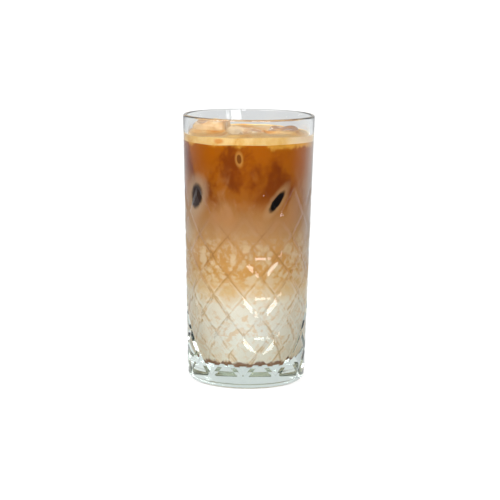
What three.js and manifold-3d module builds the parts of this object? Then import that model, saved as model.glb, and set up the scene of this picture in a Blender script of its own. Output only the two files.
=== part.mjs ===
// An iced coffee in a tall tumbler of cut glass: milk below, coffee above, crema foam on top,
// and three ice cubes that stand a little out of the foam.
// Millimetres, +Z up. The origin is the middle of the glass's underside, and -Y is the front.

import * as THREE from "three";
import { mergeVertices } from "three/addons/utils/BufferGeometryUtils.js";
import { RoundedBoxGeometry } from "three/addons/geometries/RoundedBoxGeometry.js";
import Module from "manifold-3d";

const wasm = await Module();
wasm.setup();

// The tumbler: an almost straight cone with a heavy base, a bowl-shaped bottom and a round lip.
const HEIGHT = 151;
const RIM_RADIUS = 37;
const BASE_RADIUS = 33.1;
const LIP_ROUNDING = 1;
const FLOOR_WALL = 5.8;
const ARCH_WALL = 3.2;
const FLOOR_HEIGHT = 11.5;
const FLOOR_RADIUS = 17.5;
const BOWL_HEIGHT = 48;
const BOWL_POWER = 1.5;
const BOWL_STEPS = 8;
const FOOT_ROUNDING = 4.5;
const PUNT_RADIUS = 23;
const PUNT_DEPTH = 0.8;
const PUNT_SLOPE = 2;
const PLAIN_HEIGHTS = [117, 134];

// The cut lattice: V cuts cross in columns of diamonds, and end in a row of pointed arches.
const COLUMNS = 11;
const STEPS = 6;
const CUT_TURN = THREE.MathUtils.degToRad(-2.9);
const CUT_BOTTOM = 7.6;
const CUT_TOP = 97.6;
const ARCH_TOP = 113;
const DIAMOND_HEIGHT = 22.5;
const CUT_DEPTH = 0.65;
const MITRE_SHARE = 0.34;
const ARCH_SHARE = 0.6;

// The drink: levels at which its layers meet, and the clearance between two touching solids.
const CLEARANCE = 0.3;
const MILK_LEVEL = 57;
const LATTE_LEVEL = 104;
const COFFEE_LEVEL = 136.8;
const FOAM_LEVEL = 140.4;
const LAYER_SWING = 2.4;
const FOAM_SWING = 0.4;
const EDGE_ROOM = 5;
const DRINK_SEGMENTS = 48;
const DISC_SHARES = [0.3, 0.6, 0.85, 1];

// The ice cubes: edge lengths, centre, and turns about X, Y and Z in degrees.
const ICE_ROUNDING = 3.5;
const ICE_CUBES = [
  { name: "ice_cube_left", size: [20, 20, 24], at: [-20.6, 5.4, 134.9], turn: [4, -5, -10] },
  { name: "ice_cube_middle", size: [21, 21, 20], at: [-2.4, -16.2, 133.2], turn: [11, 8, 6] },
  { name: "ice_cube_right", size: [18, 19, 20], at: [19.2, -1.5, 133.0], turn: [8, -4, -12] },
];

const GLASS_SEGMENTS = COLUMNS * STEPS;
const ROW_HEIGHT = DIAMOND_HEIGHT / STEPS;
const LATTICE_ROWS = Math.round((CUT_TOP - CUT_BOTTOM) / ROW_HEIGHT);
const ARCH_ROWS = STEPS / 2;
const BOWL_TOP = FLOOR_HEIGHT + BOWL_HEIGHT;
const SIDE_HEIGHTS = [72, 90, ARCH_TOP, 126];

// Radius of the uncut cone at a height.
function outerRadius(z) {
  return THREE.MathUtils.mapLinear(z, 0, HEIGHT, BASE_RADIUS, RIM_RADIUS);
}

// Radius of the cavity: the wall thins evenly up to the arches, and on to the lip. Below, the
// cavity narrows to its floor by a superellipse.
function innerRadius(z) {
  const wall =
    z < ARCH_TOP
      ? THREE.MathUtils.mapLinear(z, FLOOR_HEIGHT, ARCH_TOP, FLOOR_WALL, ARCH_WALL)
      : THREE.MathUtils.mapLinear(z, ARCH_TOP, HEIGHT, ARCH_WALL, 2 * LIP_ROUNDING);
  const toFloor = THREE.MathUtils.clamp((BOWL_TOP - z) / BOWL_HEIGHT, 0, 1);
  const share = (1 - toFloor ** BOWL_POWER) ** (1 / BOWL_POWER);
  return THREE.MathUtils.lerp(FLOOR_RADIUS, outerRadius(z) - wall, share);
}

// Point on a level circle. Angle 0 faces the front and grows towards +X.
function onCircle(radius, angle, z) {
  return [radius * Math.sin(angle), -radius * Math.cos(angle), z];
}

// Ring of points whose radius and height may depend on the step and its angle.
function ring(segments, turn, radiusAt, heightAt) {
  return Array.from({ length: segments }, (_, step) => {
    const angle = turn + (step * 2 * Math.PI) / segments;
    return onCircle(radiusAt(step, angle), angle, heightAt(step, angle));
  });
}

function glassRing([radius, z]) {
  return ring(GLASS_SEGMENTS, CUT_TURN, () => radius, () => z);
}

// Closed surface through a list of rings, with a point on the axis at each end.
function closedSurface(rings, firstPole, lastPole, foldsForward = () => false) {
  const segments = rings[0].length;
  const firstIndex = rings.length * segments;
  const at = (row, step) => row * segments + (step % segments);
  const index = [];
  for (let step = 0; step < segments; step += 1) {
    index.push(firstIndex, at(0, step + 1), at(0, step));
    index.push(firstIndex + 1, at(rings.length - 1, step), at(rings.length - 1, step + 1));
  }
  for (let row = 0; row < rings.length - 1; row += 1) {
    for (let step = 0; step < segments; step += 1) {
      const [a, b] = [at(row, step), at(row, step + 1)];
      const [d, c] = [at(row + 1, step), at(row + 1, step + 1)];
      index.push(...(foldsForward(step, row) ? [a, b, c, a, c, d] : [a, b, d, b, c, d]));
    }
  }
  const points = [...rings.flat(), firstPole, lastPole].flat();
  const geometry = new THREE.BufferGeometry();
  geometry.setAttribute("position", new THREE.Float32BufferAttribute(points, 3));
  geometry.setIndex(index);
  return geometry;
}

// Round edge in a radial section, as pairs of radius and height.
function roundEdge(radius, z, rounding, fromDegrees, toDegrees, steps = 4) {
  return Array.from({ length: steps + 1 }, (_, step) => {
    const degrees = THREE.MathUtils.lerp(fromDegrees, toDegrees, step / steps);
    const angle = THREE.MathUtils.degToRad(degrees);
    return [radius + rounding * Math.cos(angle), z + rounding * Math.sin(angle)];
  });
}

// Point of the cavity's bowl, at a step from the edge of its floor up to its straight wall.
function bowlPoint(step) {
  const angle = (step / BOWL_STEPS) * (Math.PI / 2);
  const z = BOWL_TOP - BOWL_HEIGHT * Math.cos(angle) ** (2 / BOWL_POWER);
  return new THREE.Vector2(innerRadius(z), z);
}

// The bowl as pairs of radius and height, moved square to its face into the cavity.
function bowlOfCavity(inset) {
  return Array.from({ length: BOWL_STEPS + 1 }, (_, step) => {
    const before = bowlPoint(Math.max(step - 0.5, 0));
    const along = bowlPoint(Math.min(step + 0.5, BOWL_STEPS)).sub(before).normalize();
    const point = bowlPoint(step);
    return [point.x - inset * along.y, point.y + inset * along.x];
  });
}

// Steps from a grid line to the nearest cut of one direction.
function stepsToCut(line) {
  const rest = THREE.MathUtils.euclideanModulo(line, STEPS);
  return Math.min(rest, STEPS - rest);
}

// Depth of the cuts at a grid point, as a share: V cuts one step wide to each side, and a shallow
// mitre across each main row.
function cutShare(step, row) {
  const fallingRight = Math.max(1 - stepsToCut(step + row), 0);
  const fallingLeft = Math.max(1 - stepsToCut(step - row), 0);
  const mitre = row % STEPS === 0 && row <= LATTICE_ROWS - STEPS ? MITRE_SHARE : 0;
  return Math.max(fallingRight, fallingLeft, mitre);
}

function latticeHeight(row) {
  const archRow = Math.max(row - LATTICE_ROWS, 0);
  const straight = CUT_BOTTOM + Math.min(row, LATTICE_ROWS) * ROW_HEIGHT;
  return straight + (archRow * (ARCH_TOP - CUT_TOP)) / ARCH_ROWS;
}

// One row of the lattice. The arches leave out what would lie above their points.
function latticeRing(row) {
  const z = latticeHeight(row);
  const archRow = Math.max(row - LATTICE_ROWS, 0);
  const fade = THREE.MathUtils.lerp(1, ARCH_SHARE, archRow / ARCH_ROWS);
  const depth = (step) => CUT_DEPTH * fade * cutShare(step, row);
  return ring(GLASS_SEGMENTS, CUT_TURN, (step) => outerRadius(z) - depth(step), () => z);
}

// The tumbler, from the underside round the foot, up the cuts, over the lip and down inside.
function tumblerGeometry() {
  const foot = [
    [PUNT_RADIUS - PUNT_SLOPE, PUNT_DEPTH],
    [PUNT_RADIUS, 0],
    ...roundEdge(outerRadius(0) - FOOT_ROUNDING, FOOT_ROUNDING, FOOT_ROUNDING, -90, -12),
  ];
  const latticeRings = Array.from({ length: LATTICE_ROWS + ARCH_ROWS + 1 }, (_, row) => latticeRing(row));
  const above = PLAIN_HEIGHTS.map((z) => [outerRadius(z), z]);
  const lip = roundEdge(RIM_RADIUS - LIP_ROUNDING, HEIGHT - LIP_ROUNDING, LIP_ROUNDING, 0, 180);
  const inside = [...SIDE_HEIGHTS].reverse().map((z) => [innerRadius(z), z]);
  const bowl = bowlOfCavity(0).reverse();
  const foldsForward = (step, ringNumber) => {
    const row = ringNumber - foot.length;
    const inLattice = row >= 0 && row < latticeRings.length - 1;
    return inLattice && stepsToCut(step - row) < stepsToCut(step + row + 1);
  };
  const rings = [
    ...foot.map(glassRing),
    ...latticeRings,
    ...[...above, ...lip, ...inside, ...bowl].map(glassRing),
  ];
  return closedSurface(rings, [0, 0, PUNT_DEPTH], [0, 0, FLOOR_HEIGHT], foldsForward);
}

// Uneven surface on which two layers meet: slow waves across the glass.
function layerHeight({ level, swing }, x, y) {
  const slow = Math.sin(0.075 * x + 0.05 * level) * Math.cos(0.09 * y - 0.03 * level);
  const quick = 0.4 * Math.sin(0.21 * x - 0.13 * y + level);
  return level + swing * (slow + quick);
}

// Rings of one such surface, each a share of the way from the axis to the cavity's wall.
function layerFace(surface, shares, lift) {
  return shares.map((share) => {
    const heightAt = (_, angle) => {
      const [x, y] = onCircle(share * innerRadius(surface.level), angle, 0);
      return layerHeight(surface, x, y) + lift;
    };
    const radiusAt = (step, angle) => share * (innerRadius(heightAt(step, angle)) - CLEARANCE);
    return ring(DRINK_SEGMENTS, 0, radiusAt, heightAt);
  });
}

// Closes a layer with its upper face, split into triangles as the lower face of the layer above is.
function closedLayer(below, bottom, upper) {
  const rings = [...below, ...layerFace(upper, [...DISC_SHARES].reverse(), 0)];
  const onUpperFace = (_, row) => row >= below.length;
  return closedSurface(rings, [0, 0, bottom], [0, 0, layerHeight(upper, 0, 0)], onUpperFace);
}

// A layer of drink that fills the cavity between two uneven surfaces.
function layerGeometry(lower, upper) {
  const low = lower.level + EDGE_ROOM;
  const high = upper.level - EDGE_ROOM;
  const between = SIDE_HEIGHTS.filter((z) => z > low && z < high);
  const side = between.map((z) =>
    ring(DRINK_SEGMENTS, 0, () => innerRadius(z) - CLEARANCE, () => z),
  );
  const below = [...layerFace(lower, DISC_SHARES, CLEARANCE), ...side];
  return closedLayer(below, layerHeight(lower, 0, 0) + CLEARANCE, upper);
}

// The milk fills the cavity's bowl from the floor up.
function milkGeometry(upper) {
  const bowl = bowlOfCavity(CLEARANCE).filter(([, z]) => z < upper.level - EDGE_ROOM);
  const below = bowl.map(([radius, z]) => ring(DRINK_SEGMENTS, 0, () => radius, () => z));
  return closedLayer(below, FLOOR_HEIGHT + CLEARANCE, upper);
}

// Solid for joining and cutting, from a closed geometry that has only positions.
function toSolid(geometry) {
  const vertProperties = new Float32Array(geometry.attributes.position.array);
  const triVerts = new Uint32Array(geometry.index.array);
  return new wasm.Manifold(new wasm.Mesh({ numProp: 3, vertProperties, triVerts }));
}

function fromSolid(solid) {
  const { vertProperties, triVerts } = solid.getMesh();
  const geometry = new THREE.BufferGeometry();
  geometry.setAttribute("position", new THREE.BufferAttribute(vertProperties, 3));
  geometry.setIndex(new THREE.BufferAttribute(triVerts, 1));
  return geometry;
}

// An ice cube with rounded edges, or the room that it needs when grown by a clearance.
function iceGeometry({ size, at, turn }, grown = 0) {
  const [width, depth, height] = size.map((length) => length + 2 * grown);
  const geometry = new RoundedBoxGeometry(width, depth, height, 2, ICE_ROUNDING + grown);
  const [aboutX, aboutY, aboutZ] = turn.map(THREE.MathUtils.degToRad);
  const placed = new THREE.Matrix4().makeRotationFromEuler(new THREE.Euler(aboutX, aboutY, aboutZ));
  geometry.applyMatrix4(placed.setPosition(...at));
  geometry.deleteAttribute("normal");
  geometry.deleteAttribute("uv");
  return mergeVertices(geometry);
}

function cutRoundIce(geometry) {
  const room = (cube) => toSolid(iceGeometry(cube, CLEARANCE));
  return fromSolid(ICE_CUBES.reduce((solid, cube) => solid.subtract(room(cube)), toSolid(geometry)));
}

const drink = new THREE.Group();

function addMesh(name, geometry, color, roughness) {
  const material = new THREE.MeshStandardMaterial({ color, roughness, metalness: 0 });
  const mesh = new THREE.Mesh(geometry, material);
  mesh.name = name;
  drink.add(mesh);
}

const milkTop = { level: MILK_LEVEL, swing: LAYER_SWING };
const latteTop = { level: LATTE_LEVEL, swing: LAYER_SWING };
const coffeeTop = { level: COFFEE_LEVEL, swing: FOAM_SWING };
const foamTop = { level: FOAM_LEVEL, swing: FOAM_SWING };

addMesh("glass", tumblerGeometry(), 0xe6eeea, 0.04);
addMesh("milk_layer", milkGeometry(milkTop), 0xd8d0bd, 0.4);
addMesh("latte_layer", layerGeometry(milkTop, latteTop), 0xb98d61, 0.4);
addMesh("coffee_layer", cutRoundIce(layerGeometry(latteTop, coffeeTop)), 0x8f4d14, 0.35);
addMesh("crema_foam", cutRoundIce(layerGeometry(coffeeTop, foamTop)), 0xe8b978, 0.6);
ICE_CUBES.forEach((cube) => addMesh(cube.name, iceGeometry(cube), 0xe3d2bb, 0.15));

export default drink;
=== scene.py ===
import math
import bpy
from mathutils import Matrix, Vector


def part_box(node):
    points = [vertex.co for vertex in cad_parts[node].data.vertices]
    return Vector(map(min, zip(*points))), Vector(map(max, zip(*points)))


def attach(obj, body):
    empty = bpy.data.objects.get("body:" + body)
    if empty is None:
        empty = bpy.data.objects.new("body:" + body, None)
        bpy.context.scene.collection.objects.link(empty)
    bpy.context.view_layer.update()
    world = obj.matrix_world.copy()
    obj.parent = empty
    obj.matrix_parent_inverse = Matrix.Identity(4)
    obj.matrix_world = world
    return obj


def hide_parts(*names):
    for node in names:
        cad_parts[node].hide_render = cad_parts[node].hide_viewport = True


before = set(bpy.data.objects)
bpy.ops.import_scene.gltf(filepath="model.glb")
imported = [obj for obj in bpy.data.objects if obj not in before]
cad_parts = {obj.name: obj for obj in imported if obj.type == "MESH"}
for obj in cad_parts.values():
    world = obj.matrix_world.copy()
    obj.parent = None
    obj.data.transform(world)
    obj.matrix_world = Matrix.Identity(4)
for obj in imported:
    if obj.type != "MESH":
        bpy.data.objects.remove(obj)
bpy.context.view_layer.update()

from types import SimpleNamespace

import bpy
import numpy as np
from mathutils import Matrix, Vector

MM = 0.001


# The tumbler: one thick-walled glass, pressed and then fire-polished, with a heavy base.
# Its outside is cut with crossing V grooves that leave diamonds, and ends in pointed arches.
# Above the cuts the wall is smooth and thins to a round lip; the cavity ends below in a bowl.
RIM_RADIUS, _, GLASS_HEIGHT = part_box("glass")[1]
BASE_RADIUS = 33.1 * MM
LIP_ROUNDING = 1.0 * MM
LIP_BAND = 3 * MM
ARCH_WALL = 3.2 * MM
FLOOR_WALL = 5.8 * MM
FLOOR_HEIGHT = 11.5 * MM
FLOOR_RADIUS = 17.5 * MM
BOWL_HEIGHT = 48.0 * MM
BOWL_TOP = FLOOR_HEIGHT + BOWL_HEIGHT
BOWL_POWER = 1.5
FOOT_ROUNDING = 4.5 * MM
FOOT_END_DEGREES = -12
PUNT_RADIUS = 23 * MM
PUNT_SLOPE = 2 * MM
PUNT_DEPTH = 0.8 * MM
POLE_RADIUS = 2 * MM

# The lattice: 11 columns of diamonds, each 32 steps wide and 32 rows high, and arches on top.
COLUMNS = 11
COLUMN_STEPS = 32
ARCH_ROWS = COLUMN_STEPS // 2
CUT_TURN = math.radians(-2.9)
CUT_BOTTOM = 7.6 * MM
CUT_TOP = 97.6 * MM
ARCH_TOP = 113 * MM
DIAMOND_HEIGHT = 22.5 * MM
STRAIGHT_ROWS = round((CUT_TOP - CUT_BOTTOM) / DIAMOND_HEIGHT * COLUMN_STEPS)
CUT_DEPTH = 0.65 * MM
CUT_HALF_STEPS = 5
MITRE_DEPTH = 0.22 * MM
MITRE_HALF_ROWS = 2
ARCH_SHALLOWER = 0.4
POINT_FADE_STEPS = 6
TOP_FADE_ROWS = 3
LOW_CUT_HEIGHTS = (12 * MM, 34 * MM)
LOW_CUT_SHARE = 0.5

GLASS_IOR = 1.5
GLASS_TINT = (0.68, 0.88, 0.78, 1)
GLASS_TINT_DENSITY = 7.0


def outer_radius(z):
    """The uncut cone: a straight line from the base radius to the rim radius."""
    return BASE_RADIUS + (RIM_RADIUS - BASE_RADIUS) * z / GLASS_HEIGHT


def inner_radius(z):
    """The cavity: the cone less a wall that thins upwards, narrowed below by a superellipse."""
    heights = (FLOOR_HEIGHT, ARCH_TOP, GLASS_HEIGHT)
    straight = outer_radius(z) - np.interp(z, heights, (FLOOR_WALL, ARCH_WALL, 2 * LIP_ROUNDING))
    to_floor = np.clip((BOWL_TOP - z) / BOWL_HEIGHT, 0, 1)
    share = (1 - to_floor**BOWL_POWER) ** (1 / BOWL_POWER)
    return FLOOR_RADIUS + (straight - FLOOR_RADIUS) * share


def round_edge(radius, z, rounding, from_degrees, to_degrees, steps):
    """Arc in a radial section about a centre, as rows of radius and height."""
    angle = np.radians(np.linspace(from_degrees, to_degrees, steps + 1))
    return np.stack([radius + rounding * np.cos(angle), z + rounding * np.sin(angle)], axis=1)


def cavity_bowl(outset):
    """The cavity from the edge of its floor to its straight wall, moved square into the glass."""
    angle = np.linspace(0, math.pi / 2, 49)
    z = BOWL_TOP - BOWL_HEIGHT * np.cos(angle) ** (2 / BOWL_POWER)
    profile = np.stack([inner_radius(z), z], axis=1)
    along = np.gradient(profile, axis=0)
    along = along / np.hypot(along[:, :1], along[:, 1:])
    return profile + outset * np.stack([along[:, 1], -along[:, 0]], axis=1)


def ring_grid(radius, z, steps, turn=0.0):
    """Points on level circles from arrays of radius and height, one row of the grid a circle."""
    angle = turn + np.arange(steps) * 2 * math.pi / steps
    radius, z = np.broadcast_arrays(radius, z)
    radius = np.broadcast_to(radius, (radius.shape[0], steps))
    z = np.broadcast_to(z, (z.shape[0], steps))
    return np.stack([radius * np.sin(angle), -radius * np.cos(angle), z], axis=2)


def closed_mesh(name, rings, fold=None, sharp_degrees=None):
    """Closed mesh through a grid of rings, with a pole at each end; fold picks the diagonals."""
    rows, steps, _ = rings.shape
    corner = np.arange(rows * steps).reshape(rows, steps)
    after = np.roll(corner, -1, axis=1)
    a, b, c, d = corner[:-1], after[:-1], after[1:], corner[1:]
    forward = np.zeros(a.shape, bool) if fold is None else fold
    first = np.where(forward[..., None], np.stack([a, b, c], -1), np.stack([a, b, d], -1))
    second = np.where(forward[..., None], np.stack([a, c, d], -1), np.stack([b, c, d], -1))
    low, high = rows * steps, rows * steps + 1
    low_fan = np.stack([np.full(steps, low), after[0], corner[0]], -1)
    high_fan = np.stack([np.full(steps, high), corner[-1], after[-1]], -1)
    faces = np.concatenate([low_fan, first.reshape(-1, 3), second.reshape(-1, 3), high_fan])
    poles = np.stack([rings[0].mean(axis=0), rings[-1].mean(axis=0)])
    points = np.concatenate([rings.reshape(-1, 3), poles])
    mesh = bpy.data.meshes.new(name)
    mesh.from_pydata(points.tolist(), [], faces.tolist())
    mesh.shade_smooth()
    if sharp_degrees is not None:
        mesh.set_sharp_from_angle(angle=math.radians(sharp_degrees))
    return mesh


def add_piece(name, mesh, material, node):
    """Object for a mesh, at the origin, that rides on the one body and stands for a node."""
    piece = bpy.data.objects.new(name, mesh)
    bpy.context.scene.collection.objects.link(piece)
    mesh.materials.append(material)
    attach(piece, "root")
    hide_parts(node)


def steps_to_cut(line):
    """Steps from a grid line to the nearest cut of one direction."""
    rest = np.mod(line, COLUMN_STEPS)
    return np.minimum(rest, COLUMN_STEPS - rest)


def lattice_rings(row, step):
    """The cone less the cuts: V cuts that climb both ways, level mitres, and fades at the ends."""
    arch = np.clip((row - STRAIGHT_ROWS) / ARCH_ROWS, 0, 1)
    row_height = DIAMOND_HEIGHT / COLUMN_STEPS
    height = CUT_BOTTOM + np.minimum(row, STRAIGHT_ROWS) * row_height + arch * (ARCH_TOP - CUT_TOP)
    ways = [
        np.clip(1 - steps_to_cut(step + way * row) / CUT_HALF_STEPS, 0, 1) for way in (1, -1)
    ]
    mitre = np.clip(1 - steps_to_cut(row) / MITRE_HALF_ROWS, 0, 1)
    in_diamonds = row <= STRAIGHT_ROWS - COLUMN_STEPS + MITRE_HALF_ROWS
    depth = np.maximum(CUT_DEPTH * np.maximum(*ways), MITRE_DEPTH * mitre * in_diamonds)

    # Between the arches the cuts fade away from the arch's outline, and at its top they end.
    from_middle = steps_to_cut(step - COLUMN_STEPS // 2)
    outside_point = np.maximum(0, from_middle - (1 - arch) * ARCH_ROWS)
    inside_point = np.clip(1 - outside_point / POINT_FADE_STEPS, 0, 1)
    depth = depth * (1 - ARCH_SHALLOWER * arch) * inside_point
    depth = depth * np.clip((STRAIGHT_ROWS + ARCH_ROWS - row) / TOP_FADE_ROWS, 0, 1)
    depth = depth * np.interp(height, LOW_CUT_HEIGHTS, (LOW_CUT_SHARE, 1))
    return ring_grid(outer_radius(height) - depth, height, step.size, CUT_TURN)


def tumbler_mesh():
    """Rings round the foot, up the cut band, over the lip, down inside and over the floor."""
    row = np.arange(STRAIGHT_ROWS + ARCH_ROWS + 1)[:, None]
    step = np.arange(COLUMNS * COLUMN_STEPS)[None, :]
    lattice = lattice_rings(row, step)

    punt_edge = PUNT_RADIUS - PUNT_SLOPE
    under = np.array([[POLE_RADIUS, PUNT_DEPTH], [punt_edge, PUNT_DEPTH], [PUNT_RADIUS, 0]])
    foot_edge = round_edge(
        outer_radius(0) - FOOT_ROUNDING, FOOT_ROUNDING, FOOT_ROUNDING, -90, FOOT_END_DEGREES, 12
    )
    foot = np.concatenate([under, foot_edge])
    above_z = np.linspace(ARCH_TOP + 1 * MM, GLASS_HEIGHT - LIP_BAND, 20)
    above = np.stack([outer_radius(above_z), above_z], axis=1)
    lip = round_edge(
        RIM_RADIUS - LIP_ROUNDING, GLASS_HEIGHT - LIP_ROUNDING, LIP_ROUNDING, 0, 180, 14
    )
    inside_z = np.linspace(GLASS_HEIGHT - LIP_BAND, BOWL_TOP + 1 * MM, 30)
    inside = np.stack([inner_radius(inside_z), inside_z], axis=1)
    bowl = cavity_bowl(0)[::-1]
    floor = np.array([[POLE_RADIUS, FLOOR_HEIGHT]])
    rest = np.concatenate([above, lip, inside, bowl, floor])
    low, high = [
        ring_grid(part[:, :1], part[:, 1:], step.size, CUT_TURN) for part in (foot, rest)
    ]
    rings = np.concatenate([low, lattice, high])

    # Each cell of the lattice is folded along the cut that is nearer to it.
    cells = row[:-1]
    fold = np.zeros((len(rings) - 1, step.size), bool)
    nearer = steps_to_cut(step - cells) < steps_to_cut(step + cells + 1)
    fold[len(foot) : len(foot) + len(cells)] = nearer
    return closed_mesh("tumbler", rings, fold, sharp_degrees=7)


class Wire:
    """An output socket: arithmetic on it adds Math nodes to its material."""

    def __init__(self, finish, socket):
        self.finish = finish
        self.socket = socket

    def math(self, operation, *others):
        values = dict(enumerate((self, *others)))
        return self.finish.node("Math", {"operation": operation}, values)

    def reflected(self, operation, first):
        return self.finish.node("Math", {"operation": operation}, {0: first, 1: self})

    def __add__(self, other):
        return self.math("ADD", other)

    def __sub__(self, other):
        return self.math("SUBTRACT", other)

    def __rsub__(self, other):
        return self.reflected("SUBTRACT", other)

    def __mul__(self, other):
        return self.math("MULTIPLY", other)

    def __truediv__(self, other):
        return self.math("DIVIDE", other)

    def __rtruediv__(self, other):
        return self.reflected("DIVIDE", other)

    __radd__ = __add__
    __rmul__ = __mul__

    def smooth(self, low, high):
        """Smooth step: 0 up to low, 1 from high on, whichever of the two is larger."""
        values = {"Value": self, "From Min": low, "From Max": high}
        settings = {"interpolation_type": "SMOOTHSTEP"}
        return self.finish.node("MapRange", settings, values)


class Finish:
    """A material, or the world, that is put together node by node."""

    def __init__(self, name, kind=bpy.data.materials, place="Object"):
        self.owner = kind.new(name)
        self.owner.use_nodes = True
        self.tree = self.owner.node_tree
        self.tree.nodes.clear()
        self.place = self.node("TexCoord", out=place)

    def node(self, kind, settings=None, sockets=None, out=0):
        """Adds a node of a type, with its settings first and then its sockets' values or links."""
        made = self.tree.nodes.new("ShaderNode" + kind)
        for name, value in (settings or {}).items():
            if name == "stops":
                self.set_stops(made.color_ramp, value)
            else:
                setattr(made, name, value)
        for name, value in (sockets or {}).items():
            if isinstance(value, Wire):
                self.tree.links.new(value.socket, made.inputs[name])
            else:
                made.inputs[name].default_value = value
        return Wire(self, made.outputs[out])

    @staticmethod
    def set_stops(ramp, stops):
        while len(ramp.elements) < len(stops):
            ramp.elements.new(1)
        for element, (position, colour) in zip(ramp.elements, stops):
            element.position = position
            element.color = colour

    def mix(self, factor, first, second, blend="MIX"):
        """Colour between two colours, by a factor from 0 to 1."""
        settings = {"data_type": "RGBA", "blend_type": blend, "clamp_factor": True}
        return self.node("Mix", settings, {0: factor, 6: first, 7: second}, out=2)

    def axes(self):
        """The three Object coordinates as numbers."""
        return [self.node("SeparateXYZ", None, {0: self.place}, out=axis) for axis in "XYZ"]

    def along(self, vector, direction):
        """How far a vector points along a direction: their dot product."""
        sockets = {0: vector, 1: direction}
        return self.node("VectorMath", {"operation": "DOT_PRODUCT"}, sockets, out="Value")

    def noise(self, place, scale, detail, roughness=0.5):
        sockets = {"Vector": place, "Scale": scale, "Detail": detail, "Roughness": roughness}
        return self.node("TexNoise", None, sockets)

    def cells(self, place, scale, feature="F1"):
        """Cell pattern: distance from a cell's middle or, by the feature, from its edge."""
        sockets = {"Vector": place, "Scale": scale}
        return self.node("TexVoronoi", {"feature": feature}, sockets, out="Distance")

    def moved(self, place, offset=(0, 0, 0), scale=(1, 1, 1)):
        return self.node("Mapping", None, {"Vector": place, "Location": offset, "Scale": scale})

    def bump(self, height, distance, strength):
        sockets = {"Height": height, "Distance": distance, "Strength": strength}
        return self.node("Bump", None, sockets)

    def surface(self, sockets, volume=None):
        """The material itself, from the values of its Principled shader's sockets."""
        return self.done(self.node("BsdfPrincipled", None, sockets), volume)

    def done(self, shader, volume=None, output="OutputMaterial"):
        end = self.tree.nodes.new("ShaderNode" + output)
        self.tree.links.new(shader.socket, end.inputs["Surface"])
        if volume is not None:
            self.tree.links.new(volume.socket, end.inputs["Volume"])
        return self.owner


def clear_glass():
    """Clear soda glass with a trace of green in its depth and a slow ripple in its skin."""
    finish = Finish("clear_glass")
    tint = {"Color": GLASS_TINT, "Density": GLASS_TINT_DENSITY}
    sockets = {
        "Base Color": (1, 1, 1, 1),
        "Roughness": 0.0,
        "IOR": GLASS_IOR,
        "Transmission Weight": 1.0,
        "Normal": finish.bump(finish.noise(finish.place, 55.0, 2.0), 0.12 * MM, 0.25),
    }
    return finish.surface(sockets, finish.node("VolumeAbsorption", None, tint))


add_piece("tumbler", tumbler_mesh(), clear_glass(), "glass")


# The drink: milk poured over ice, and coffee poured on it last, so that the colours run together.
# Each layer is liquid right up to the wall, and one colour field runs through all of them.
# Milk lies at the bottom, then golden swirls, milky coffee, and dark amber coffee on top.
REACH = 0.15 * MM
MILK_LEVEL = 57 * MM
LATTE_LEVEL = 104 * MM
COFFEE_LEVEL = 136.8 * MM
FOAM_LEVEL = 140.4 * MM
LAYER_SWING = 2.4 * MM
FOAM_SWING = 0.4 * MM
DRINK_STEPS = 216
SIDE_ROW = 1.0 * MM
FACE_SHARES = (0.2, 0.5, 0.8, 1)
LAYERS = {
    "milk": (None, (MILK_LEVEL, LAYER_SWING)),
    "latte": ((MILK_LEVEL, LAYER_SWING), (LATTE_LEVEL, LAYER_SWING)),
    "coffee": ((LATTE_LEVEL, LAYER_SWING), (COFFEE_LEVEL, FOAM_SWING)),
}

# Colours by height in millimetres, as display values of red, green and blue from 0 to 255.
RAMP_TOP_MM = 140
POURED_COLOURS = (
    (11.2, (226, 220, 202)),
    (30.8, (232, 228, 217)),
    (48.3, (230, 224, 208)),
    (56.0, (220, 190, 142)),
    (64.4, (206, 164, 102)),
    (78.4, (188, 148, 100)),
    (88.2, (178, 136, 90)),
    (98.0, (170, 120, 70)),
    (107.8, (160, 94, 28)),
    (119.0, (166, 90, 2)),
    (136.08, (172, 92, 2)),
    (137.9, (226, 164, 60)),
)
SLOW_SWIRL = 16 * MM
QUICK_SWIRL = 8 * MM
CREAM_LUMP = (214, 190, 152)
# Gold in the veins between lumps; along the cuts it is painted shade.
GOLD_VEIN_AND_CUT_SHADE = (200, 146, 78)
MILK_SIDE_TAN = (220, 196, 156)
# Tan flecks; along the cuts they are painted shade.
MILK_FLECK_AND_CUT_SHADE = (220, 182, 128)
# Painted light and painted shade that the cuts throw on the drink.
PAINTED_CUT_LIGHT = (238, 236, 226)
PAINTED_CUT_SHADE = (0.5, 0.44, 0.38, 1)
DARK_CLOUD = (118, 50, 2)
MILKY_CLOUD = (180, 130, 84)
RIGHT_PALE_WALL = (196, 182, 168)
LEFT_PALE_WALL = (206, 184, 152)
FLOOR_EDGE_BROWN = (124, 76, 42)
# Painted light: a glow at the lower back of the milk.
MILK_PAINTED_GLOW = (0.74, 0.9, 0.86, 1)
MILK_PAINTED_GLOW_STRENGTH = 0.25

# Where sunk ice touches the wall: degrees round from the front, height, half width, half height,
# degrees that the spot leans to the right, the painted shade seen through the ice, and the colour
# of the film at its edge.
ICE_SPOTS = {
    "left": (-57, 107.0 * MM, 4.7 * MM, 7.0 * MM, 20, (50, 36, 32), (186, 160, 128)),
    "right": (28.3, 105.6 * MM, 2.2 * MM, 6.8 * MM, 36, (12, 4, 4), (180, 140, 96)),
    "small": (-8.4, 129.4 * MM, 1.25 * MM, 2.5 * MM, -4, (122, 68, 16), (210, 150, 68)),
}


def wave_height(level, swing, x, y):
    """Uneven surface on which two layers meet: a slow wave and a quick one."""
    x_mm, y_mm, level_mm = x / MM, y / MM, level / MM
    slow = np.sin(0.075 * x_mm + 0.05 * level_mm) * np.cos(0.09 * y_mm - 0.03 * level_mm)
    quick = 0.4 * np.sin(0.21 * x_mm - 0.13 * y_mm + level_mm)
    return level + swing * (slow + quick)


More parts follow.
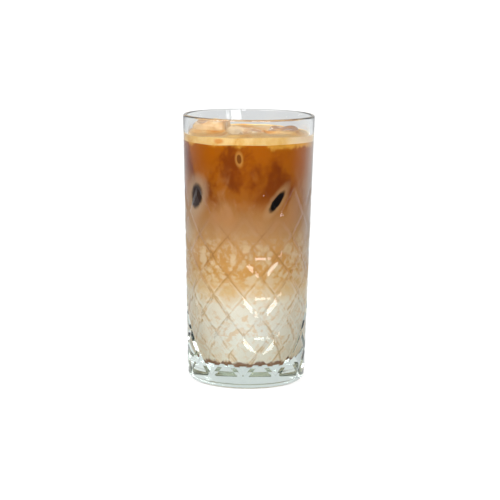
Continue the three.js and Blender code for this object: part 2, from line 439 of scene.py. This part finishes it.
def wave_face(level, swing, shares):
    """Rings of such a surface, each a share of the way from the axis to the wall."""
    angle = np.arange(DRINK_STEPS) * 2 * math.pi / DRINK_STEPS
    share = np.asarray(shares)[:, None]
    reach = share * inner_radius(level)
    z = wave_height(level, swing, reach * np.sin(angle), -reach * np.cos(angle))
    return ring_grid(share * (inner_radius(z) + REACH), z, DRINK_STEPS)


def side_rings(low, high):
    """Rings up the wall between the edges of two faces."""
    count = max(2, round(float((high - low).mean() / SIDE_ROW)))
    share = np.linspace(0, 1, count + 1)[1:-1, None]
    z = low + (high - low) * share
    return ring_grid(inner_radius(z) + REACH, z, DRINK_STEPS)


def layer_mesh(name, lower, upper):
    """Layer between two wave faces; the first stands in the bowl of the glass."""
    top = wave_face(*upper, FACE_SHARES[::-1])
    if lower is None:
        bowl = cavity_bowl(REACH)
        bowl = bowl[bowl[:, 1] < upper[0] - 3 * LAYER_SWING]
        bottom = ring_grid(bowl[:, :1], bowl[:, 1:], DRINK_STEPS)
    else:
        bottom = wave_face(*lower, FACE_SHARES)
    side = side_rings(bottom[-1, :, 2][None, :], top[0, :, 2][None, :])
    return closed_mesh(name, np.concatenate([bottom, side, top]), sharp_degrees=40)


def from_srgb(red, green, blue):
    """Linear colour with alpha 1 from 8-bit display values."""
    display = np.array([red, green, blue]) / 255
    linear = np.where(display > 0.04045, ((display + 0.055) / 1.055) ** 2.4, display / 12.92)
    return (*linear.tolist(), 1)


def colour_ramp(finish, factor, stops):
    """Colour by a factor from 0 to 1, from pairs of a position and a display colour."""
    stops = [(position, from_srgb(*colour)) for position, colour in stops]
    return finish.node("ValToRGB", {"stops": stops}, {0: factor})


def covered(finish, share, colour, display_colour):
    """A colour, covered by a share from 0 to 1 with a display colour."""
    return finish.mix(share, colour, from_srgb(*display_colour))


def warped_place(finish, scale, reach):
    """Object coordinates pushed about by a soft noise, so that what reads them swirls."""
    sockets = {"Vector": finish.place, "Scale": scale, "Detail": 2.0}
    push = finish.node("TexNoise", None, sockets, out=1)
    half = (0.5, 0.5, 0.5)
    centred = finish.node("VectorMath", {"operation": "SUBTRACT"}, {0: push, 1: half})
    shift = finish.node("VectorMath", {"operation": "SCALE"}, {0: centred, "Scale": reach})
    return finish.node("VectorMath", {"operation": "ADD"}, {0: finish.place, 1: shift})


def around(x, y):
    """Angle round the glass from its front, positive to the right, and distance from its axis."""
    return x.math("ARCTAN2", y * -1), (x * x + y * y).math("SQRT")


def to_nearest_cut(azimuth, height):
    """Distance to the nearer of the two crossing cuts, in diamond widths."""
    column = (azimuth - CUT_TURN) * (COLUMNS / (2 * math.pi))
    row = (height - CUT_BOTTOM) / DIAMOND_HEIGHT
    falls_right = (column + row).math("PINGPONG", 0.5)
    falls_left = (column - row).math("PINGPONG", 0.5)
    return falls_right.math("MINIMUM", falls_left)


def spot_distance(finish, turn, height, half_width, half_height, lean):
    """Distance from the middle of a spot on the wall, with the spot's own edge at 1."""
    turn = math.radians(turn)
    radius = inner_radius(height)
    sockets = {
        "Vector": finish.place,
        "Location": (radius * math.sin(turn), -radius * math.cos(turn), height),
        "Rotation": (0, math.radians(lean), turn),
        "Scale": (half_width, half_width, half_height),
    }
    local = finish.node("Mapping", {"vector_type": "TEXTURE"}, sockets)
    return finish.node("VectorMath", {"operation": "LENGTH"}, {0: local}, out="Value")


def drink_fields(finish):
    """What the drink's colour is worked out from: where a point is, and noises that swirl."""
    x, y, height = finish.axes()
    azimuth, radius = around(x, y)
    swirled = warped_place(finish, 34.0, 22 * MM)
    fine = finish.noise(finish.moved(finish.place, (0.2, 0, 0.1)), 380.0, 3.0, 0.6)
    cut = to_nearest_cut(azimuth, height)
    # Veins run between lumps of about 4 mm, and along the cuts, where they are painted shade that
    # the cuts throw.
    gap = finish.cells(warped_place(finish, 260.0, 3 * MM), 230.0, "DISTANCE_TO_EDGE")
    return SimpleNamespace(
        azimuth=azimuth,
        radius=radius,
        height=height,
        sides=azimuth.math("ABSOLUTE").smooth(0.3, 1.1),
        cut=cut,
        swirled=swirled,
        slow=finish.noise(swirled, 42.0, 3.0, 0.55),
        medium=finish.noise(finish.moved(swirled, (0.3, 0.1, 0)), 150.0, 4.0, 0.62),
        fine=fine,
        veins_and_cut_shade=gap.smooth(0.3, 0.0) * 0.12 + cut.smooth(0.16, 0.02) * 0.12 + (fine - 0.5) * 0.3,
    )


def poured(finish, field):
    """Colour by height, from milk to dark coffee, with the heights pushed about by swirls."""
    wisps = finish.noise(finish.moved(field.swirled, scale=(1, 1, 0.4)), 150.0, 4.0, 0.62)
    bent = field.height + (field.slow - 0.5) * SLOW_SWIRL + (wisps - 0.5) * QUICK_SWIRL
    stops = [(height / RAMP_TOP_MM, colour) for height, colour in POURED_COLOURS]
    return colour_ramp(finish, bent / (RAMP_TOP_MM * MM), stops)


def with_lumps(finish, field, colour):
    """Lumps of cream in the milky coffee, with gold in the gaps, and along the cuts gold that is
    painted shade.
    """
    band = field.height.smooth(52 * MM, 62 * MM) * field.height.smooth(93 * MM, 72 * MM)
    cream = band * (field.medium + field.veins_and_cut_shade - field.sides * 0.04).smooth(0.72, 0.38)
    gold_and_cut_shade = band * (field.medium + field.veins_and_cut_shade).smooth(0.5, 0.7)
    colour = covered(finish, cream * (1.4 - field.slow), colour, CREAM_LUMP)
    return covered(finish, gold_and_cut_shade * 0.75, colour, GOLD_VEIN_AND_CUT_SHADE)


def with_side_tan_and_flecks(finish, field, colour):
    """Tan towards the sides of the milk, in uneven patches, and flecks in the gaps between its
    lumps and along the cuts, where the flecks are painted shade.
    """
    tan_at_sides = field.height.smooth(66 * MM, 52 * MM) * (field.sides * 0.6 + field.slow * 0.5 - 0.2)
    gaps_and_cut_shade = field.medium * 0.5 + field.fine * 0.5 + field.veins_and_cut_shade * 0.6
    flecks_and_cut_shade = field.height.smooth(66 * MM, 56 * MM) * gaps_and_cut_shade.smooth(0.53, 0.67)
    colour = covered(finish, tan_at_sides * 0.6, colour, MILK_SIDE_TAN)
    return covered(finish, flecks_and_cut_shade * 0.6, colour, MILK_FLECK_AND_CUT_SHADE)


def with_painted_cut_shade_and_light(finish, field, colour):
    """Painted shade in a fine line along each cut, and in the milk painted light in a paler line
    on either side of it.
    """
    beside = field.cut.smooth(0.05, 0.09) * field.cut.smooth(0.18, 0.11)
    painted_light = beside * field.height.smooth(64 * MM, 50 * MM)
    shade = field.cut.smooth(0.045, 0.01) * field.height.smooth(100 * MM, 80 * MM)
    shade = shade * field.medium.smooth(0.35, 0.6)
    colour = covered(finish, painted_light * 0.35, colour, PAINTED_CUT_LIGHT)
    return finish.mix(shade * 0.45, colour, PAINTED_CUT_SHADE, "MULTIPLY")


def with_clouds(finish, field, colour):
    """Dark clouds in the coffee, and milky ones that rise into it."""
    dark_place = finish.moved(field.swirled, (0.5, 0.2, 0.4), (1, 1, 0.8))
    dark = finish.noise(dark_place, 48.0, 4.0, 0.6).smooth(0.43, 0.61)
    dark = dark * field.height.smooth(98 * MM, 112 * MM)
    milky_place = finish.moved(field.swirled, (0.9, 0.4, 0.1), (1, 1, 0.5))
    milky = finish.noise(milky_place, 62.0, 4.0, 0.6).smooth(0.44, 0.62)
    milky = milky * field.height.smooth(84 * MM, 98 * MM) * field.height.smooth(128 * MM, 106 * MM)
    colour = covered(finish, dark * 0.85, colour, DARK_CLOUD)
    return covered(finish, milky * 0.8, colour, MILKY_CLOUD)


def with_pale_walls(finish, field, colour):
    """Paler, greyer colour at the wall: on the right up to the foam, on the left up to the arches.
    """
    azimuth, height = field.azimuth, field.height
    right = azimuth.smooth(1.0, 1.35) * azimuth.smooth(2.1, 1.5) * height.smooth(56 * MM, 80 * MM)
    left = azimuth.smooth(-0.8, -1.3) * azimuth.smooth(-2.3, -1.6)
    left = left * height.smooth(56 * MM, 76 * MM) * height.smooth(112 * MM, 92 * MM)
    colour = covered(finish, right * 0.5, colour, RIGHT_PALE_WALL)
    return covered(finish, left * 0.4, colour, LEFT_PALE_WALL)


def with_sunk_ice(finish, field, colour):
    """The ice that touches the wall: a soft-edged oval of painted shade, the drink seen dark
    through the clear ice, inside a halo of thin film.
    """
    for *spot, shade_through_ice, film_colour in ICE_SPOTS.values():
        distance = spot_distance(finish, *spot) + (field.fine - 0.5) * 0.3
        colour = covered(finish, distance.smooth(2.3, 1.2) * 0.6, colour, film_colour)
        colour = covered(finish, distance.smooth(1.25, 0.8), colour, shade_through_ice)
    return colour


def with_brown_floor_edge(finish, field, colour):
    """Dark brown in an uneven band at the edge of the floor."""
    uneven = field.height + (field.fine - 0.5) * (4 * MM)
    floor_edge_brown = uneven.smooth(14.2 * MM, 12.8 * MM) * field.radius.smooth(14 * MM, 17 * MM)
    return covered(finish, floor_edge_brown * 0.85, colour, FLOOR_EDGE_BROWN)


def drink_finish():
    """Opaque liquid with no gloss of its own, because the wall has it; the milk's lower back glows
    with painted light.
    """
    finish = Finish("drink")
    field = drink_fields(finish)
    colour = poured(finish, field)
    colour = with_lumps(finish, field, colour)
    colour = with_side_tan_and_flecks(finish, field, colour)
    colour = with_painted_cut_shade_and_light(finish, field, colour)
    colour = with_clouds(finish, field, colour)
    colour = with_pale_walls(finish, field, colour)
    colour = with_sunk_ice(finish, field, colour)
    colour = with_brown_floor_edge(finish, field, colour)
    # Painted light: the lower back of the milk glows, which brightens it where the lamps reach it
    # dimly.
    y = finish.axes()[1]
    painted_glow_at_back = field.height.smooth(66 * MM, 50 * MM) * y.smooth(4 * MM, 14 * MM)
    return finish.surface({
        "Base Color": colour,
        "Roughness": 0.7,
        "Specular IOR Level": 0.0,
        "Emission Color": finish.mix(painted_glow_at_back, (0, 0, 0, 1), MILK_PAINTED_GLOW),
        "Emission Strength": MILK_PAINTED_GLOW_STRENGTH,
    })


DRINK = drink_finish()
for layer, (lower, upper) in LAYERS.items():
    add_piece(layer, layer_mesh(layer, lower, upper), DRINK, layer + "_layer")


# The ice: three cubes of water frozen in a tray, which float at the top, their edges melted round.
# Each is a solid block, wet, and filmed with crema where it stands out of the foam.
# A cube is its size, the place of its middle and its turns, in millimetres and degrees.
ICE_CUBES = {
    "left": ((20, 20, 24), (-20.6, 5.4, 134.9), (4, -5, -10)),
    "middle": ((21, 21, 20), (-2.4, -16.2, 133.2), (11, 8, 6)),
    "right": ((18, 19, 20), (19.2, -1.5, 133.0), (8, -4, -12)),
}
ICE_ROUNDNESS = 8.0
ICE_DENT = 0.35 * MM
ICE_ROWS = 72
ICE_STEPS = 120
FILM_COLOURS = (
    (0.34, (142, 102, 66)),
    (0.43, (178, 138, 96)),
    (0.52, (196, 168, 130)),
    (0.66, (202, 176, 138)),
)
# Painted shade on the faces of a cube that do not face up.
ICE_SIDE_SHADE = (174, 142, 98)
# Painted shade on the far rim of a cube's top, with the coffee under it.
ICE_FAR_RIM_SHADE_AND_COFFEE = (104, 66, 40)


def turned(turn):
    """Rotation matrix of a cube: first about its own Z, then Y, then X."""
    about_x, about_y, about_z = (math.radians(degrees) for degrees in turn)
    rotation = Matrix.Rotation(about_x, 3, "X") @ Matrix.Rotation(about_y, 3, "Y")
    return np.array(rotation @ Matrix.Rotation(about_z, 3, "Z"))


def superquadric(local):
    """The sum of the coordinates' powers, and its root: 1 on the surface of a rounded cube."""
    return (np.abs(local) ** ICE_ROUNDNESS).sum(axis=-1) ** (1 / ICE_ROUNDNESS)


def cube_measure(points, cube):
    """1 on a cube's surface, less inside it and more outside."""
    size, at, turn = cube
    return superquadric((points - np.array(at) * MM) @ turned(turn) / (np.array(size) * MM / 2))


def cube_mesh(name, cube):
    """Every direction from the middle, stretched out to the superquadric, less waves of dents."""
    size, at, turn = cube
    tilt = np.linspace(0, math.pi, ICE_ROWS + 2)[1:-1, None]
    angle = np.arange(ICE_STEPS)[None, :] * 2 * math.pi / ICE_STEPS
    across = (np.sin(tilt) * np.cos(angle), np.sin(tilt) * np.sin(angle))
    direction = np.stack([*across, np.cos(tilt) + 0 * angle], axis=-1)[::-1]
    points = direction / superquadric(direction)[..., None] * np.array(size) * MM / 2
    x, y, z = np.moveaxis(points / MM, -1, 0)
    dents = np.sin(0.55 * x + size[0]) * np.sin(0.5 * y + size[1])
    dents = dents + 0.6 * np.sin(0.9 * z + 0.7 * x)
    points = points - direction * (ICE_DENT * (dents + 1))[..., None]
    return closed_mesh(name, points @ turned(turn).T + np.array(at) * MM)


def foamy_ice():
    """Wet ice under a broken film of crema: cream where it is thick, brown where it is thin;
    painted shade darkens its sides and the far rim of each top.
    """
    finish = Finish("foamy_ice")
    film = finish.noise(warped_place(finish, 60.0, 10 * MM), 95.0, 4.0, 0.6) + 0.03
    # The cube on the right has the least film.
    film = film - finish.axes()[0].smooth(8 * MM, 12 * MM) * 0.12
    normal = finish.node("TexCoord", out="Normal")
    upwards = finish.along(normal, (0, 0, 1))
    # The wet rim of a cube's top, on the far side, shows the coffee under it, darkened further
    # with painted shade.
    far_rim_shade_and_coffee = finish.along(normal, (0, 1, 0)).smooth(0.0, 0.12) * upwards.smooth(0.1, 0.5)
    colour = colour_ramp(finish, film, FILM_COLOURS)
    # Painted shade: the faces that do not face up are darker and more golden.
    colour = covered(finish, upwards.smooth(0.9, 0.5) * 0.6, colour, ICE_SIDE_SHADE)
    colour = covered(finish, far_rim_shade_and_coffee * 0.85, colour, ICE_FAR_RIM_SHADE_AND_COFFEE)
    return finish.surface({
        "Base Color": colour,
        "Roughness": film.smooth(0.4, 0.6) * 0.3 + 0.12,
        "Specular IOR Level": 0.3,
        "Normal": finish.bump(finish.noise(finish.place, 420.0, 2.0), 0.25 * MM, 0.5),
    })


FOAMY_ICE = foamy_ice()
for side, cube in ICE_CUBES.items():
    name = "ice_" + side
    add_piece(name, cube_mesh(name, cube), FOAMY_ICE, "ice_cube_" + side)


# The crema: a thin golden foam, dense and fine-bubbled, that coffee pushes up as it is poured.
# It floats on the coffee round the three cubes, and climbs a little up the wall and the ice.
WALL_CLIMB = 0.35 * MM
WALL_CLIMB_WIDTH = 0.9 * MM
ICE_CLIMB = 1.6 * MM
ICE_CLIMB_WIDTH = 1.3 * MM
HALF_CUBE = 10 * MM
FOAM_RING_SHARES = np.concatenate([[1, 0.995, 0.99, 0.98], np.linspace(0.97, 0.02, 60)])
FOAM_SPOT = (-27.5, 138.8 * MM, 2.6 * MM, 1.3 * MM, 0)
FOAM_SPOT_COLOUR = (222, 140, 44)
# Painted shade: the top of the crema is given darker colours than its band at the wall.
FOAM_TOP_SHADED_COLOURS = (
    (0.34, (174, 114, 52)),
    (0.46, (190, 144, 86)),
    (0.56, (192, 160, 114)),
    (0.70, (200, 176, 140)),
)
FOAM_WALL_COLOURS = (
    (0.34, (216, 150, 66)),
    (0.44, (229, 186, 108)),
    (0.60, (238, 208, 144)),
)
FOAM_RIGHT = (252, 232, 200)
FOAM_NEAR_FRONT = (218, 176, 104)


def foam_top():
    """The wave face, raised towards the wall and towards each cube by a falling exponential."""
    rings = wave_face(FOAM_LEVEL, FOAM_SWING, FOAM_RING_SHARES)
    from_wall = inner_radius(FOAM_LEVEL) - np.hypot(rings[..., 0], rings[..., 1])
    rise = WALL_CLIMB * np.exp(-np.maximum(from_wall, 0) / WALL_CLIMB_WIDTH)
    for cube in ICE_CUBES.values():
        from_ice = (cube_measure(rings, cube) - 1) * HALF_CUBE
        rise = rise + ICE_CLIMB * np.exp(-np.maximum(from_ice, 0) / ICE_CLIMB_WIDTH)
    rings[..., 2] += rise
    return rings


def foam_mesh():
    """A wave face below, straight sides, and the climbing top."""
    bottom = wave_face(COFFEE_LEVEL, FOAM_SWING, FACE_SHARES)
    top = foam_top()
    side = np.linspace(bottom[-1], top[0], 6)[1:-1]
    return closed_mesh("foam", np.concatenate([bottom, side, top]), sharp_degrees=50)


def foam_finish():
    """Crema: cream and orange clouds, paler against the wall and darker on top with painted shade,
    with a skin of fine bubbles.
    """
    finish = Finish("crema")
    x, y, height = finish.axes()
    azimuth, radius = around(x, y)
    swirled = warped_place(finish, 50.0, 20 * MM)
    clouds = finish.noise(swirled, 62.0, 4.0, 0.6)

    near_front = radius.smooth(25 * MM, 33.4 * MM) * y.smooth(5 * MM, -15 * MM)
    # Painted shade: the top is coloured darker than the band at the wall.
    shaded_top = colour_ramp(finish, clouds, FOAM_TOP_SHADED_COLOURS)
    shaded_top = covered(finish, near_front * 0.7, shaded_top, FOAM_NEAR_FRONT)
    on_right = azimuth.smooth(0.5, 0.9) * azimuth.smooth(2.2, 1.7)
    at_wall = colour_ramp(finish, clouds, FOAM_WALL_COLOURS)
    at_wall = covered(finish, on_right * 0.7, at_wall, FOAM_RIGHT)
    in_band = radius.smooth(33.4 * MM, 33.9 * MM) * height.smooth(141.4 * MM, 140.7 * MM)
    amber = (spot_distance(finish, *FOAM_SPOT) + (clouds - 0.5)).smooth(1.6, 0.6)
    colour = covered(finish, amber * 0.8, finish.mix(in_band, shaded_top, at_wall), FOAM_SPOT_COLOUR)

    bubbles = finish.cells(finish.place, 1500.0) * 0.5 + finish.cells(swirled, 520.0)
    return finish.surface({
        "Base Color": colour,
        "Roughness": 0.5,
        "Specular IOR Level": 0.2,
        "Normal": finish.bump(bubbles, 0.2 * MM, 0.35),
    })


add_piece("foam", foam_mesh(), foam_finish(), "crema_foam")


# The studio: a white sweep under and behind the glass, which is a floor that bends up into a wall.
# A window on the right, high and low, and a soft box on the left light it, in a pale grey room.
SWEEP_WIDTH = 3.0
SWEEP_FRONT = -1.6
SWEEP_BACK = 1.0
SWEEP_HEIGHT = 1.8
SWEEP_BEND = 0.5
SWEEP_GREY = (0.25, 0.25, 0.25, 1)
SWEEP_GLOW = 0.72
ROOM_TINT = (0.97, 0.99, 1.0, 1)
ROOM_BACK = 0.76
ROOM_ABOVE = 1.2
ROOM_ZENITH = 0.4
ROOM_BELOW = 0.45
ROOM_FRONT = 0.12
ROOM_LEFT_LOSS = 0.35
ROOM_RIGHT_GAIN = 0.1
# Place and target of each soft box in metres, its width and height, and its power in watts.
# The window is split by a bar, and the glass mirrors both of its panes.
LIGHTS = {
    "window_wide": ((0.455, -1.0, 0.115), (0, 0, 0.12), (0.37, 0.19), 1.9),
    "window_narrow": ((0.72, -0.83, 0.115), (0, 0, 0.12), (0.12, 0.19), 0.35),
    "high_window": ((0.42, -1.0, 0.68), (0, 0, 0.06), (0.6, 0.5), 14),
    "left_box": ((-0.85, -0.9, 0.6), (0, 0, 0.06), (1.1, 0.6), 22),
}


def sweep_mesh():
    """A profile of line, quarter circle and line, drawn sideways."""
    turn = np.linspace(0, math.pi / 2, 24)
    bend_y = SWEEP_BACK - SWEEP_BEND + SWEEP_BEND * np.sin(turn)
    y = np.concatenate([[SWEEP_FRONT], bend_y, [SWEEP_BACK]])
    z = np.concatenate([[0], SWEEP_BEND - SWEEP_BEND * np.cos(turn), [SWEEP_HEIGHT]])
    x = np.array([-SWEEP_WIDTH / 2, SWEEP_WIDTH / 2])
    points = np.stack([np.repeat(x, len(y)), np.tile(y, 2), np.tile(z, 2)], axis=1)
    index = np.arange(len(y) - 1)
    faces = np.stack([index, index + len(y), index + len(y) + 1, index + 1], axis=1)
    mesh = bpy.data.meshes.new("sweep")
    mesh.from_pydata(points.tolist(), [], faces.tolist())
    mesh.shade_smooth()
    return mesh


def white_finish():
    """Matt white that is lit from behind, so that it stays even."""
    return Finish("white_sweep").surface({
        "Base Color": SWEEP_GREY,
        "Roughness": 0.9,
        "Specular IOR Level": 0.1,
        "Emission Color": (1, 1, 1, 1),
        "Emission Strength": SWEEP_GLOW,
    })


def room():
    """A room that is grey behind, brighter far right, dim left, bright above and dark in front."""
    finish = Finish("room", bpy.data.worlds, "Generated")
    height = finish.along(finish.place, (0, 0, 1))
    back = finish.along(finish.place, (0, 1, 0)).smooth(-0.3, 0.5)
    left = finish.along(finish.place, (-1, 0, 0)).smooth(0.6, 0.95)
    far_right = finish.along(finish.place, (0.76, 0.64, -0.1)).smooth(0.75, 0.98)
    above = ROOM_ABOVE - height.smooth(0.4, 0.9) * (ROOM_ABOVE - ROOM_ZENITH)
    front = height.smooth(0.05, 0.4) * above + height.smooth(-0.35, -0.8) * ROOM_BELOW + ROOM_FRONT
    strength = (back * ROOM_BACK + (1 - back) * front) * (1 - left * ROOM_LEFT_LOSS)
    sockets = {"Color": ROOM_TINT, "Strength": strength + far_right * ROOM_RIGHT_GAIN}
    return finish.done(finish.node("Background", None, sockets), output="OutputWorld")


def soft_light(name, place, target, size, power):
    """A rectangular soft box that faces a target."""
    light = bpy.data.lights.new(name, "AREA")
    light.shape = "RECTANGLE"
    light.size, light.size_y = size
    light.energy = power
    lamp = bpy.data.objects.new(name, light)
    lamp.location = place
    aim = Vector(target) - Vector(place)
    lamp.rotation_euler = aim.to_track_quat("-Z", "Y").to_euler()
    bpy.context.scene.collection.objects.link(lamp)


sweep = bpy.data.objects.new("sweep", sweep_mesh())
sweep.data.materials.append(white_finish())
bpy.context.scene.collection.objects.link(sweep)
# The glass shows the grey room and not the sweep.
sweep.visible_glossy = False
sweep.visible_transmission = False

bpy.context.scene.world = room()
for name, (place, target, size, power) in LIGHTS.items():
    soft_light(name, place, target, size, power)


# The camera looks at the front of the glass from a little above its rim, as the photograph does.
# It stands a metre away with a long lens, and is turned half a degree about its view.
CAMERA_PLACE = (0.00144, -1.0146, 0.2388)
CAMERA_PITCH = math.radians(9.237)
CAMERA_ROLL = math.radians(0.658)
CAMERA_LENS_MM = 130.3
CAMERA_SENSOR_MM = 36

camera = bpy.data.objects.new("camera", bpy.data.cameras.new("camera"))
camera.data.lens = CAMERA_LENS_MM
camera.data.sensor_width = CAMERA_SENSOR_MM
camera.data.clip_start = 0.01
camera.location = CAMERA_PLACE
looking_down = Matrix.Rotation(math.pi / 2 - CAMERA_PITCH, 4, "X")
camera.rotation_euler = (looking_down @ Matrix.Rotation(CAMERA_ROLL, 4, "Z")).to_euler()
bpy.context.scene.collection.objects.link(camera)
bpy.context.scene.camera = camera
bpy.context.scene.view_settings.view_transform = "Standard"
